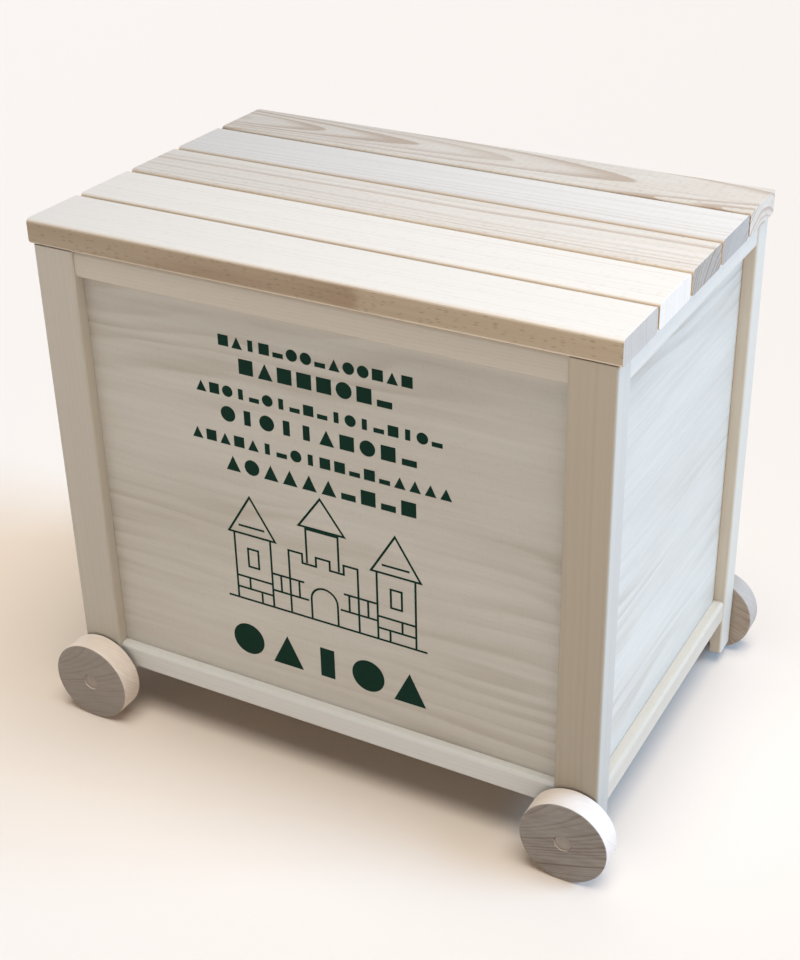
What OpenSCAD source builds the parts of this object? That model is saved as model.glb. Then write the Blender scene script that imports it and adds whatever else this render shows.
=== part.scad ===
// Wooden toy box on four wheels, with a slatted lid that lifts off.
// Millimetres, +Z up. The origin is on the floor under the middle of the box.
// X runs along the width and Y along the depth; the front looks towards -Y.

/* [Box] */
// Width over the corner posts, along X
box_w = 400; // [300:1:600]
// Depth over the corner posts, along Y
box_d = 266; // [200:1:400]
// Height of the walls, from their bottom edge to the rim
wall_h = 318; // [150:1:450]

/* [Corner posts] */
// Width of the post's leg on the front or rear, along X
post_w = 30; // [24:1:60]
// Width of the post's leg on the side, along Y
post_d = 20; // [18:1:40]
// Thickness of both legs of the post
leg_t = 9; // [7.5:0.5:12]
// Height of the post's foot, below the axle's bore
post_foot = 14; // [6:0.5:16]
// Radius of the post's long outer edges
post_edge_r = 2; // [0.5:0.5:3]

/* [Rails] */
// Height of the rails round the top and the bottom of the walls
rail_h = 18; // [12:1:40]
// Thickness of the front and rear rails
rail_t = 7; // [4:0.5:9]
// Thickness of the side rails
side_rail_t = 8; // [4:0.5:9]
// Radius of the rails' long outer edges
rail_edge_r = 2; // [0.5:0.5:3]

/* [Panels] */
// Thickness of the plywood wall panels
panel_t = 5; // [3:0.5:8]
// Thickness of the plywood floor
floor_t = 5; // [3:0.5:10]
// Width of the cleats that the floor lies on
cleat_w = 12; // [8:1:20]
// Height of the cleats that the floor lies on
cleat_h = 12; // [8:1:20]

/* [Lid] */
// Thickness of the lid's slats
slat_t = 17; // [15:0.5:25]
// Gap between neighbouring slats
slat_gap = 2.5; // [1:0.5:8]
// Radius of the slats' long edges
slat_edge_r = 3; // [1:0.5:4]
// How far the slats stand out past the posts at each end
lid_overhang_x = 2.5; // [0:0.25:10]
// How far the outer slats stand out past the posts, front and rear
lid_overhang_y = 0.75; // [0:0.25:10]
// Width of the battens under the lid, along X
batten_w = 30; // [20:1:50]
// Thickness of the battens under the lid
batten_t = 18; // [12:1:20]
// Play between the battens and the inside of the walls
batten_play = 2; // [0.5:0.5:5]

/* [Batten screws] */
// Diameter of the screws' shank
screw_d = 4; // [3:0.5:5]
// Diameter of the screws' countersunk head
screw_head_d = 8; // [6:0.5:9]
// How far the screws reach into the slats
screw_bite = 12; // [8:0.5:13]

/* [Wheels] */
// Diameter of the wheels
wheel_d = 60; // [50:1:90]
// Thickness of the wheels
wheel_t = 17.5; // [10:0.5:30]
// Chamfer on the wheels' edges
wheel_chamfer = 0.8; // [0.2:0.1:3]
// Gap between a wheel and its post
wheel_gap = 0.8; // [0.5:0.1:3]
// Diameter of the dowel axles
axle_d = 12; // [8:1:14]
// Radial play of the axles in the posts
axle_play = 0.1; // [0.05:0.01:0.1]
// How far the axles' ends lie below the wheels' outer faces
axle_recess = 1; // [0.5:0.5:4]
// Gap between the axles and the bottom edge of the walls
axle_gap = 2.5; // [1:0.5:4]

/* [Hidden] */
$fn = 64;

SLATS = 5;            // number of slats in the lid
SCREWS_PER_SLAT = 2;  // screws from each batten into each slat
CUT = 1;              // how far a cutting shape runs past what it cuts

axle_r = axle_d / 2;
axle_z = wheel_d / 2;                        // height of the axles' centre lines
axle_x = box_w / 2 - post_w / 2;             // the axles run behind the middle of the posts
foot_z = axle_z - axle_r - post_foot;        // bottom of the posts
wall_z = axle_z + axle_r + axle_gap;         // bottom edge of the walls
rim_z = wall_z + wall_h;                     // top edge of the walls, posts and rails
panel_x = box_w / 2 - leg_t;                 // outside face of the side panels
panel_y = box_d / 2 - leg_t;                 // outside face of the front and rear panels
inner_x = panel_x - panel_t;                 // inside face of the side panels
inner_y = panel_y - panel_t;                 // inside face of the front and rear panels
lid_l = box_w + 2 * lid_overhang_x;
lid_d = box_d + 2 * lid_overhang_y;
slat_w = (lid_d - (SLATS - 1) * slat_gap) / SLATS;
batten_l = 2 * (inner_y - batten_play);
batten_x = inner_x - batten_play - batten_w / 2;  // middle of a batten
screw_l = batten_t + screw_bite;             // the screws' length, head and point included
head_h = (screw_head_d - screw_d) / 2;       // a 90 degree countersunk head
axle_l = box_d + 2 * (wheel_gap + wheel_t - axle_recess);

// ---- shapes that repeat ----

// A profile's corner at the origin, rounded away: the waste between the corner and the arc.
module corner_waste(r) {
    difference() {
        translate([-CUT, -CUT]) square(r + CUT);
        translate([r, r]) circle(r = r);
    }
}

// A rectangle from the origin, with its two corners on the outer side, at x = 0, rounded.
module rail_profile(w, h, r) {
    difference() {
        square([w, h]);
        corner_waste(r);
        translate([0, h]) mirror([0, 1]) corner_waste(r);
    }
}

// A rectangle from the origin with four rounded corners.
module slat_profile(w, h, r) {
    difference() {
        square([w, h]);
        for (x = [0, 1], y = [0, 1])
            translate([x * w, y * h]) mirror([x, 0]) mirror([0, y]) corner_waste(r);
    }
}

// Puts a child made for the front on the rear.
module to_rear() {
    mirror([0, 1, 0]) children();
}

// Puts a child made for the left on the right.
module to_right() {
    mirror([1, 0, 0]) children();
}

// ---- corner posts ----

// The post's L profile, with its outer corner at the origin, the legs along +X and +Y.
module post_profile() {
    difference() {
        square([post_w, post_d]);
        translate([leg_t, leg_t]) square([post_w, post_d]);
        corner_waste(post_edge_r);
        translate([post_w, 0]) mirror([1, 0]) corner_waste(post_edge_r);
        translate([0, post_d]) mirror([0, 1]) corner_waste(post_edge_r);
    }
}

// The front left post. The axle's bore runs on past the front leg, along the inside of the side leg.
module post() {
    color("Tan")
    difference() {
        translate([-box_w / 2, -box_d / 2, foot_z])
            linear_extrude(rim_z - foot_z) post_profile();
        translate([-axle_x, -box_d / 2 - CUT, axle_z]) rotate([-90, 0, 0])
            cylinder(r = axle_r + axle_play, h = post_d + 2 * CUT);
    }
}

// ---- rails ----

// A rail on the front wall, from post to post, with its bottom at z.
module front_rail(z) {
    length = box_w - 2 * post_w;
    color("Wheat")
    translate([-length / 2, -panel_y - rail_t, z])
        rotate([90, 0, 90]) linear_extrude(length) rail_profile(rail_t, rail_h, rail_edge_r);
}

// A rail on the left wall, from post to post, with its bottom at z.
module left_rail(z) {
    length = box_d - 2 * post_d;
    color("Wheat")
    translate([-panel_x - side_rail_t, length / 2, z])
        rotate([90, 0, 0]) linear_extrude(length) rail_profile(side_rail_t, rail_h, rail_edge_r);
}

// ---- panels and floor ----

// The front wall panel, which runs the whole width between the posts' side legs.
module front_wall_panel() {
    color("BurlyWood")
    translate([-panel_x, -panel_y, wall_z]) cube([2 * panel_x, panel_t, wall_h]);
}

// The left wall panel, which fits between the front and the rear panel.
module left_wall_panel() {
    color("BurlyWood")
    translate([-panel_x, -inner_y, wall_z]) cube([panel_t, 2 * inner_y, wall_h]);
}

// The floor lies on the cleats, inside the four panels.
module floor_panel() {
    color("BurlyWood")
    translate([-inner_x, -inner_y, wall_z + cleat_h]) cube([2 * inner_x, 2 * inner_y, floor_t]);
}

// The cleat along the foot of the front panel.
module front_cleat() {
    color("Wheat")
    translate([-inner_x, -inner_y, wall_z]) cube([2 * inner_x, cleat_w, cleat_h]);
}

// The cleat along the foot of the left panel, between the front and the rear cleat.
module left_cleat() {
    color("Wheat")
    translate([-inner_x, -inner_y + cleat_w, wall_z])
        cube([cleat_w, 2 * (inner_y - cleat_w), cleat_h]);
}

// ---- lid ----

// The low Y edge of slat i, counted from 0 at the front.
function slat_y(i) = -lid_d / 2 + i * (slat_w + slat_gap);

// The Y places of the screws in slat i, spread over the width that lies on the battens.
function screw_rows(i) =
    let (low = max(slat_y(i), -batten_l / 2), high = min(slat_y(i) + slat_w, batten_l / 2))
    [for (k = [0 : SCREWS_PER_SLAT - 1]) low + (high - low) * (k + 0.5) / SCREWS_PER_SLAT];

// One slat of the lid, with the pilot holes that its screws fill.
module slat(i) {
    color("Cornsilk")
    difference() {
        translate([-lid_l / 2, slat_y(i), rim_z])
            rotate([90, 0, 90]) linear_extrude(lid_l) slat_profile(slat_w, slat_t, slat_edge_r);
        for (side = [-1, 1], y = screw_rows(i))
            translate([side * batten_x, y, rim_z - batten_t]) screw();
    }
}

// The left batten under the slats, with its countersunk screw holes.
module batten() {
    color("Tan")
    difference() {
        translate([-batten_x - batten_w / 2, -batten_l / 2, rim_z - batten_t])
            cube([batten_w, batten_l, batten_t]);
        batten_screws();
    }
}

// A countersunk wood screw with its head's flat face at the origin, pointing up.
module screw() {
    cylinder(r1 = screw_head_d / 2, r2 = screw_d / 2, h = head_h);
    translate([0, 0, head_h]) cylinder(r = screw_d / 2, h = screw_l - head_h - screw_d);
    translate([0, 0, screw_l - screw_d]) cylinder(r1 = screw_d / 2, r2 = 0, h = screw_d);
}

// The screws of the left batten, two for each slat.
module batten_screws() {
    color("Silver")
    for (i = [0 : SLATS - 1], y = screw_rows(i))
        translate([-batten_x, y, rim_z - batten_t]) screw();
}

// ---- wheels and axles ----

// The front left wheel, glued on the end of its axle.
module wheel() {
    r = wheel_d / 2;
    color("RosyBrown")
    translate([-axle_x, -box_d / 2 - wheel_gap, axle_z]) rotate([90, 0, 0])
        rotate_extrude() polygon([
            [axle_r, 0],
            [r - wheel_chamfer, 0],
            [r, wheel_chamfer],
            [r, wheel_t - wheel_chamfer],
            [r - wheel_chamfer, wheel_t],
            [axle_r, wheel_t]
        ]);
}

// The left axle, a dowel that turns in the bores of the front and rear posts.
module axle() {
    color("Tan")
    translate([-axle_x, -axle_l / 2, axle_z]) rotate([-90, 0, 0])
        cylinder(r = axle_r, h = axle_l);
}

// ---- nodes ----

post();  // front_left_post
to_right() post();  // front_right_post
to_rear() post();  // rear_left_post
to_right() to_rear() post();  // rear_right_post

front_rail(rim_z - rail_h);  // front_top_rail
to_rear() front_rail(rim_z - rail_h);  // rear_top_rail
left_rail(rim_z - rail_h);  // left_top_rail
to_right() left_rail(rim_z - rail_h);  // right_top_rail

front_rail(wall_z);  // front_bottom_rail
to_rear() front_rail(wall_z);  // rear_bottom_rail
left_rail(wall_z);  // left_bottom_rail
to_right() left_rail(wall_z);  // right_bottom_rail

front_wall_panel();  // front_panel
to_rear() front_wall_panel();  // rear_panel
left_wall_panel();  // left_panel
to_right() left_wall_panel();  // right_panel

floor_panel();
front_cleat();  // front_floor_cleat
to_rear() front_cleat();  // rear_floor_cleat
left_cleat();  // left_floor_cleat
to_right() left_cleat();  // right_floor_cleat

slat(0);  // lid_slat_1
slat(1);  // lid_slat_2
slat(2);  // lid_slat_3
slat(3);  // lid_slat_4
slat(4);  // lid_slat_5
batten();  // left_lid_batten
to_right() batten();  // right_lid_batten
batten_screws();  // left_batten_screws
to_right() batten_screws();  // right_batten_screws

wheel();  // front_left_wheel
to_right() wheel();  // front_right_wheel
to_rear() wheel();  // rear_left_wheel
to_right() to_rear() wheel();  // rear_right_wheel
axle();  // left_axle
to_right() axle();  // right_axle
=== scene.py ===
"""The looks of a wheeled wooden toy box with a slatted lid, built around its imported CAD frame.

Every wooden piece is made again here with eased edges and sawn ends. Each one also stores its own place in
an imaginary log, so that one wood finish gives every board its own figure and its own end grain.
"""

from __future__ import annotations

import logging
import math
import random
from dataclasses import dataclass, field
from enum import Enum
from functools import partial
from typing import Sequence

import bmesh
import bpy
import numpy as np
from mathutils import Matrix, Vector


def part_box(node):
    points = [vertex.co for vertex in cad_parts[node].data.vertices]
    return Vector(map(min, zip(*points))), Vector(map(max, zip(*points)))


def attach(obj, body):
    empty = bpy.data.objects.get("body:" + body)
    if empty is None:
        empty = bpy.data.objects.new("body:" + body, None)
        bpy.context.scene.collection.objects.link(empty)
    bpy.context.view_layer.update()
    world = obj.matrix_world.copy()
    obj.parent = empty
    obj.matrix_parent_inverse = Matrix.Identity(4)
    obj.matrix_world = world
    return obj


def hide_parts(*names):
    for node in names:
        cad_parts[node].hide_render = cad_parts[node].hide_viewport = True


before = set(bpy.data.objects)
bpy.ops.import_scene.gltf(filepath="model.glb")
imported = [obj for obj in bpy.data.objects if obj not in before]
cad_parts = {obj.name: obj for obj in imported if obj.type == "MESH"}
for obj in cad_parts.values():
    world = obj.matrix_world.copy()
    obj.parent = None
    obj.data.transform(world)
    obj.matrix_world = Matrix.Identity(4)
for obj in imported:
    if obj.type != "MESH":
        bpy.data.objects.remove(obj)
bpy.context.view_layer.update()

log = logging.getLogger("toy_box")

MM = 0.001
AXIS_X = Vector((1.0, 0.0, 0.0))
AXIS_Y = Vector((0.0, 1.0, 0.0))
AXIS_Z = Vector((0.0, 0.0, 1.0))

SAME_POINT = 0.001 * MM  # points closer than this are one point
SHARP_EDGE = math.radians(55.0)  # edges that turn more than this are eased
EASING = 0.3 * MM  # how much sandpaper takes off every sharp edge of a board
SCREW_EASING = 0.12 * MM
SLATS = 5
FULL_WEIGHT = 100  # the largest faces alone decide the normals of the smooth shading
WARMTH = (0.06, -0.015, -0.12)  # what one unit of warmth adds to red, green and blue

# Where in its log a piece may come from: metres along it, degrees of turn, and metres off the middle.
STRETCH = (2.0, 20.0)
TURN = (-4.0, 4.0)
OFF_MIDDLE = (-0.006, 0.006)

# How much a face looks along the fibres where it starts to count as sawn, and where it fully does. Then how
# much it looks the same way as the show face where it starts to count as a side, and where it fully does.
SAWN = (0.35, 0.85)
SIDE = (0.75, 0.25)

# Rounding of the long edges of each kind of board, on the show face and on the back, in millimetres.
SHEET_EDGES = (0.4, 0.4)
RAIL_EDGES = (3.0, 0.5)
SLAT_EDGES = (3.0, 3.0)
INNER_EDGES = (0.8, 0.5)

Colour = tuple[float, float, float]
Point = tuple[float, float]


# ---- node writing ----


class Value:
    """A node socket that takes part in arithmetic, so that node maths reads as formulas."""

    def __init__(self, graph: Graph, socket: bpy.types.NodeSocket) -> None:
        """Wraps a socket.

        Args:
            graph: the graph that the socket's node is in.
            socket: the output socket.
        """
        self.graph = graph
        self.socket = socket

    def _math(self, operation: str, *operands: Value | float) -> Value:
        """Adds a Math node.

        Args:
            operation: the node's operation.
            operands: its inputs, in order.

        Returns:
            The node's result.
        """
        made = self.graph.node("ShaderNodeMath", {"operation": operation}, dict(enumerate(operands)))
        return Value(self.graph, made.outputs[0])

    def __add__(self, other: Value | float) -> Value:
        """The sum."""
        return self._math("ADD", self, other)

    __radd__ = __add__

    def __sub__(self, other: Value | float) -> Value:
        """The difference."""
        return self._math("SUBTRACT", self, other)

    def __rsub__(self, other: float) -> Value:
        """A number less this value."""
        return self._math("SUBTRACT", other, self)

    def __mul__(self, other: Value | float) -> Value:
        """The product."""
        return self._math("MULTIPLY", self, other)

    def __truediv__(self, other: Value | float) -> Value:
        """The quotient."""
        return self._math("DIVIDE", self, other)

    def __lt__(self, other: Value | float) -> Value:
        """1 where this value is the lower, and 0 elsewhere."""
        return self._math("LESS_THAN", self, other)

    def fraction(self) -> Value:
        """The part after the decimal point."""
        return self._math("FRACT", self)

    def whole(self) -> Value:
        """The whole number below."""
        return self._math("FLOOR", self)

    def size(self) -> Value:
        """The value without its sign."""
        return self._math("ABSOLUTE", self)

    def root(self) -> Value:
        """The square root."""
        return self._math("SQRT", self)

    def angle_from(self, other: Value) -> Value:
        """The angle whose tangent is this value over the other."""
        return self._math("ARCTAN2", self, other)


class Graph:
    """Writes the nodes of one shader or geometry tree."""

    def __init__(self, tree: bpy.types.NodeTree) -> None:
        """Starts on an empty tree.

        Args:
            tree: the tree to write.
        """
        self.tree = tree

    def node(
        self,
        kind: str,
        settings: dict[str, object] | None = None,
        inputs: dict[int | str, object] | None = None,
    ) -> bpy.types.Node:
        """Adds any node.

        Args:
            kind: the node's type.
            settings: its properties, which are set first.
            inputs: the value or link of each socket, by name or number.

        Returns:
            The new node.
        """
        made = self.tree.nodes.new(kind)
        for name, setting in (settings or {}).items():
            setattr(made, name, setting)
        for key, given in (inputs or {}).items():
            source = given.socket if isinstance(given, Value) else given
            if isinstance(source, bpy.types.NodeSocket):
                self.tree.links.new(source, made.inputs[key])
            else:
                made.inputs[key].default_value = source
        return made

    def attribute(self, name: str, output: str = "Vector") -> Value:
        """Reads one of the piece's own attributes.

        Args:
            name: the attribute's name.
            output: the output to use, Vector or Fac.

        Returns:
            The attribute.
        """
        return Value(self, self.node("ShaderNodeAttribute", {"attribute_name": name}).outputs[output])

    def parts(self, vector: Value) -> tuple[Value, Value, Value]:
        """Splits a vector into its three parts."""
        outputs = self.node("ShaderNodeSeparateXYZ", inputs={0: vector}).outputs
        return Value(self, outputs[0]), Value(self, outputs[1]), Value(self, outputs[2])

    def vector(self, x: Value | float, y: Value | float, z: Value | float) -> Value:
        """Joins three values into a vector."""
        return Value(self, self.node("ShaderNodeCombineXYZ", inputs={0: x, 1: y, 2: z}).outputs[0])

    def times(self, vector: Value, by: Value | Colour) -> Value:
        """A vector or colour multiplied part by part."""
        made = self.node("ShaderNodeVectorMath", {"operation": "MULTIPLY"}, {0: vector, 1: by})
        return Value(self, made.outputs[0])

    def noise(
        self, place: Value, scale: Colour | None = None, detail: float = 2.0, roughness: float = 0.5
    ) -> Value:
        """Smooth noise.

        Args:
            place: where to look.
            scale: number of lumps to each unit of the place, part by part, or None for one.
            detail: number of finer layers.
            roughness: how strong the finer layers are.

        Returns:
            The noise, from 0 to 1.
        """
        vector = place if scale is None else self.times(place, scale)
        settings = {"Vector": vector, "Scale": 1.0, "Detail": detail, "Roughness": roughness}
        return Value(self, self.node("ShaderNodeTexNoise", inputs=settings).outputs[0])

    def cells(self, vector: Value) -> tuple[Value, Value]:
        """Scattered points, one to each unit cell of the vector.

        Args:
            vector: where to look.

        Returns:
            The distance to the nearest point, and a random colour that belongs to that point.
        """
        made = self.node("ShaderNodeTexVoronoi", inputs={"Vector": vector, "Scale": 1.0})
        return Value(self, made.outputs["Distance"]), Value(self, made.outputs["Color"])

    def smooth(self, value: Value, low: float, high: float) -> Value:
        """Rises smoothly from 0 to 1 as a value rises.

        Args:
            value: the value.
            low: where the result leaves 0.
            high: where it reaches 1.

        Returns:
            The result.
        """
        inputs = {"Value": value, "From Min": low, "From Max": high}
        made = self.node("ShaderNodeMapRange", {"interpolation_type": "SMOOTHSTEP"}, inputs)
        return Value(self, made.outputs[0])

    def mix(self, share: Value, first: Value | Colour, second: Value | Colour) -> Value:
        """Mixes two colours.

        Args:
            share: how much of the second colour there is, from 0 to 1.
            first: the first colour.
            second: the second colour.

        Returns:
            The mixed colour.
        """
        ends = [end if isinstance(end, Value) else (*end, 1.0) for end in (first, second)]
        made = self.node("ShaderNodeMix", {"data_type": "RGBA"}, {0: share, 6: ends[0], 7: ends[1]})
        return Value(self, made.outputs[2])


def linear(red: int, green: int, blue: int) -> Colour:
    """Turns a display colour into a linear one, by the standard sRGB curve.

    Args:
        red: its red, from 0 to 255.
        green: its green.
        blue: its blue.

    Returns:
        The linear colour, each part from 0 to 1.
    """
    return tuple(
        part / 12.92 if part <= 0.04045 else ((part + 0.055) / 1.055) ** 2.4
        for part in (red / 255.0, green / 255.0, blue / 255.0)
    )


# ---- wood: where a piece sat in its log ----


class Sawing(Enum):
    """How a board lay in its log: the angle from its show face to the rings, in degrees."""

    PEELED = 0.0
    FLAT = 4.0
    RIFT = 42.0
    QUARTER = 86.0


def share_between(values: np.ndarray, none: float, full: float) -> np.ndarray:
    """Finds how far each value is on its way between two others.

    Args:
        values: the values.
        none: what gives 0.
        full: what gives 1.

    Returns:
        The shares, from 0 to 1.
    """
    return np.clip((values - none) / (full - none), 0.0, 1.0)


@dataclass(frozen=True)
class LogCut:
    """One piece's place in its log.

    Attributes:
        grain: the axis that the fibres run along.
        face: the normal of the face that shows.
        sawing: how the board was cut.
        heart: distance from the middle of the piece to the pith, in metres.
        tilt: how far the rings drift sideways for each metre along the grain.
        seed: picks the stretch of the log.
        bright: factor on the wood's brightness, which on some pieces also holds painted light and shade.
        warm: above 0 for warmer wood, below 0 for greyer wood.
        figure: factor on the strength of the grain.
        side: the last three again for the narrow sides, or None where they are the same.
        whole_rim: whether the sawn ends take the sides' tone too.
        end_grain: factor on how dark the sawn ends are.
        fade: painted shade, how much darker the wood is drawn where the fibres start than where they end, for
            light that falls off along the piece.
    """

    grain: Vector
    face: Vector
    sawing: Sawing = Sawing.RIFT
    heart: float = 0.055
    tilt: float = 0.012
    seed: int = 0
    bright: float = 1.0
    warm: float = 0.0
    figure: float = 1.0
    side: tuple[float, float, float] | None = None
    whole_rim: bool = False
    end_grain: float = 1.0
    fade: float = 0.0

    def coordinates(self, points: np.ndarray) -> np.ndarray:
        """Finds points in the log: along the fibres, across the rings and out from the pith.

        Args:
            points: one row of X, Y and Z for each point, in the row frame.

        Returns:
            The same points in the log.
        """
        draw = random.Random(self.seed)
        side = self.grain.cross(self.face)
        middle = (points.min(axis=0) + points.max(axis=0)) / 2
        along, across, out = ((points - middle) @ np.array(axis) for axis in (self.grain, side, self.face))
        start = draw.uniform(*STRETCH)
        if self.sawing is Sawing.PEELED:
            return np.stack([along + start, across + start, out], axis=1)
        turn = math.radians(self.sawing.value + draw.uniform(*TURN))
        tangential = across * math.cos(turn) - out * math.sin(turn) + draw.uniform(*OFF_MIDDLE)
        radial = across * math.sin(turn) + out * math.cos(turn) + self.heart + self.tilt * along
        return np.stack([along + start, tangential, radial], axis=1)

    def sawn(self, normals: np.ndarray) -> np.ndarray:
        """Tells sawn ends from long faces; on a peeled sheet, every edge counts as an end.

        Args:
            normals: one row for each face.

        Returns:
            1 for each end, 0 for each long face, and shares between.
        """
        if self.sawing is Sawing.PEELED:
            facing = 1.0 - np.abs(normals @ np.array(self.face))
        else:
            facing = np.abs(normals @ np.array(self.grain))
        return share_between(facing, *SAWN)

    def painted_shading(self, points: np.ndarray) -> np.ndarray:
        """Finds the painted shade along the piece: how much darker each point is drawn.

        Args:
            points: one row of X, Y and Z for each point, in the row frame.

        Returns:
            A factor on the brightness of each point.
        """
        along = points @ np.array(self.grain)
        return 1.0 - self.fade * (along.max() - along) / (along.max() - along.min())

    def tones(self, normals: np.ndarray) -> np.ndarray:
        """Finds the tone of each face.

        Args:
            normals: one row for each face.

        Returns:
            One row for each face: brightness, warmth and strength of the grain.
        """
        front = np.array([self.bright, self.warm, self.figure])
        if self.side is None:
            return np.tile(front, (len(normals), 1))
        share = share_between(np.abs(normals @ np.array(self.face)), *SIDE)
        if not self.whole_rim:
            share = share * (1.0 - self.sawn(normals))
        return front + (np.array(self.side) - front) * share[:, None]


# ---- finishes ----


def new_material(name: str) -> tuple[bpy.types.Material, Graph]:
    """Makes an empty node material.

    Args:
        name: the material's name.

    Returns:
        The material, and a graph that writes it.
    """
    material = bpy.data.materials.new(name)
    material.use_nodes = True
    material.node_tree.nodes.clear()
    return material, Graph(material.node_tree)


def output_principled(graph: Graph, inputs: dict[str, object]) -> None:
    """Ends a material in a Principled shader.

    Args:
        graph: the material's graph.
        inputs: the shader's inputs.
    """
    shader = graph.node("ShaderNodeBsdfPrincipled", inputs=inputs)
    graph.node("ShaderNodeOutputMaterial", inputs={"Surface": shader.outputs[0]})


def toned(graph: Graph, colour: Value, shade: Value, warm: Value) -> Value:
    """Gives a wood's colour the brightness and the warmth of its piece.

    Args:
        graph: the material's graph.
        colour: the wood's colour.
        shade: the factor on its brightness.
        warm: above 0 for warmer wood, below 0 for greyer wood.

    Returns:
        The piece's colour.
    """
    return graph.times(colour, graph.vector(*(shade * (warm * part + 1.0) for part in WARMTH)))


def output_wood(
    graph: Graph, colour: Value, roughness: Value, height: Value, relief: tuple[float, float], gloss: float
) -> None:
    """Ends a wood's material in a bumped Principled shader.

    Args:
        graph: the material's graph.
        colour: the surface's colour.
        roughness: its roughness.
        height: its height, for the bump.
        relief: the bump's strength, and its depth in metres.
        gloss: the shader's specular level.
    """
    strength, depth = relief
    bump = graph.node("ShaderNodeBump", inputs={"Strength": strength, "Distance": depth, "Height": height})
    output_principled(
        graph,
        {
            "Base Color": colour,
            "Roughness": roughness,
            "Normal": bump.outputs[0],
            "Specular IOR Level": gloss,
        },
    )


@dataclass(frozen=True)
class BeechFinish:
    """Sanded beech under a thin clear lacquer.

    Attributes:
        name: the material's name.
        pale: the colour of the early wood.
        dark: the colour of the late wood.
        fleck: the colour of the ray flecks.
        ring_width: width of a year's ring, in metres.
        ring_depth: how strongly the rings show.
        streak_depth: how strongly the lengthwise streaks show.
        fleck_depth: how strongly the ray flecks show.
        end_shade: how much darker the sawn ends are.
        roughness: the surface's mean roughness.
        relief: strength of the grain's relief, and its depth in metres.
        gloss: how much the lacquer reflects.
    """

    name: str
    pale: Colour
    dark: Colour
    fleck: Colour
    ring_width: float = 0.0034
    ring_depth: float = 0.42
    streak_depth: float = 0.55
    fleck_depth: float = 0.3
    end_shade: float = 0.2
    roughness: float = 0.46
    relief: tuple[float, float] = (0.22, 0.12 * MM)
    gloss: float = 0.42

    def material(self) -> bpy.types.Material:
        """Writes the material.

        Returns:
            The material.
        """
        material, graph = new_material(self.name)
        place = graph.attribute("log")
        # the tone's brightness holds painted light and shade as well as the wood's own tone
        bright, warm, figure = graph.parts(graph.attribute("tone"))
        end = graph.attribute("end", "Fac")
        late, fleck, streak, fibre = self._figure(graph, place, end)
        amount = late * figure * self.ring_depth + (streak - 0.5) * figure * self.streak_depth
        amount = amount + (fibre - 0.5) * 0.16 + 0.18
        colour = graph.mix(amount, self.pale, self.dark)
        colour = graph.mix(fleck * figure * self.fleck_depth, colour, self.fleck)
        colour = toned(graph, colour, bright * (1.0 - end * self.end_shade), warm)
        roughness = (fibre - 0.5) * 0.12 + end * 0.12 + self.roughness
        height = fibre * 0.5 + streak * 0.3 - late * 0.25 - fleck * 0.3
        output_wood(graph, colour, roughness, height, self.relief, self.gloss)
        return material

    def _figure(self, graph: Graph, place: Value, end: Value) -> tuple[Value, Value, Value, Value]:
        """Works out the wood's figure.

        Args:
            graph: the material's graph.
            place: the point in the log.
            end: 1 on sawn ends, 0 elsewhere.

        Returns:
            The late wood, the ray flecks, the streaks and the fibres, each from 0 to 1.
        """
        # Scales are lumps to a metre: along the fibres, round the rings and out from the pith.
        along, tangential, radial = graph.parts(place)
        sway = graph.noise(place, (2.6, 13.0, 13.0)) - 0.5
        drift = graph.noise(place, (7.0, 30.0, 30.0), detail=1.0) - 0.5
        wide = tangential + sway * 0.02
        deep = radial + sway * 0.012 + drift * 0.003
        radius = (wide * wide + deep * deep).root()
        spread = graph.noise(graph.vector(radius * 90.0, 0.0, along * 0.2), detail=1.0)
        years = (radius + spread * 0.006) / self.ring_width
        phase = years.fraction()
        rise = graph.smooth(phase, 0.30, 0.94) * (1.0 - graph.smooth(phase, 0.94, 1.0))
        vigour = graph.noise(graph.vector(years.whole() * 0.77, 3.1, along * 0.6), detail=1.0)
        late = rise * graph.smooth(vigour, 0.25, 0.8) * (1.0 + end * 0.6)
        arc = tangential.angle_from(radial) * 0.06
        distance, tone = graph.cells(graph.vector(along * 170.0, arc * 1500.0, radial * 130.0))
        kept, _, _ = graph.parts(tone)
        fleck = (1.0 - graph.smooth(distance, 0.12, 0.42)) * graph.smooth(kept, 0.35, 0.6)
        streak = graph.noise(place, (4.0, 210.0, 210.0), detail=3.0, roughness=0.6)
        fibre = graph.noise(place, (55.0, 2400.0, 2400.0), detail=1.0)
        return late, fleck, streak, fibre


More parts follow.
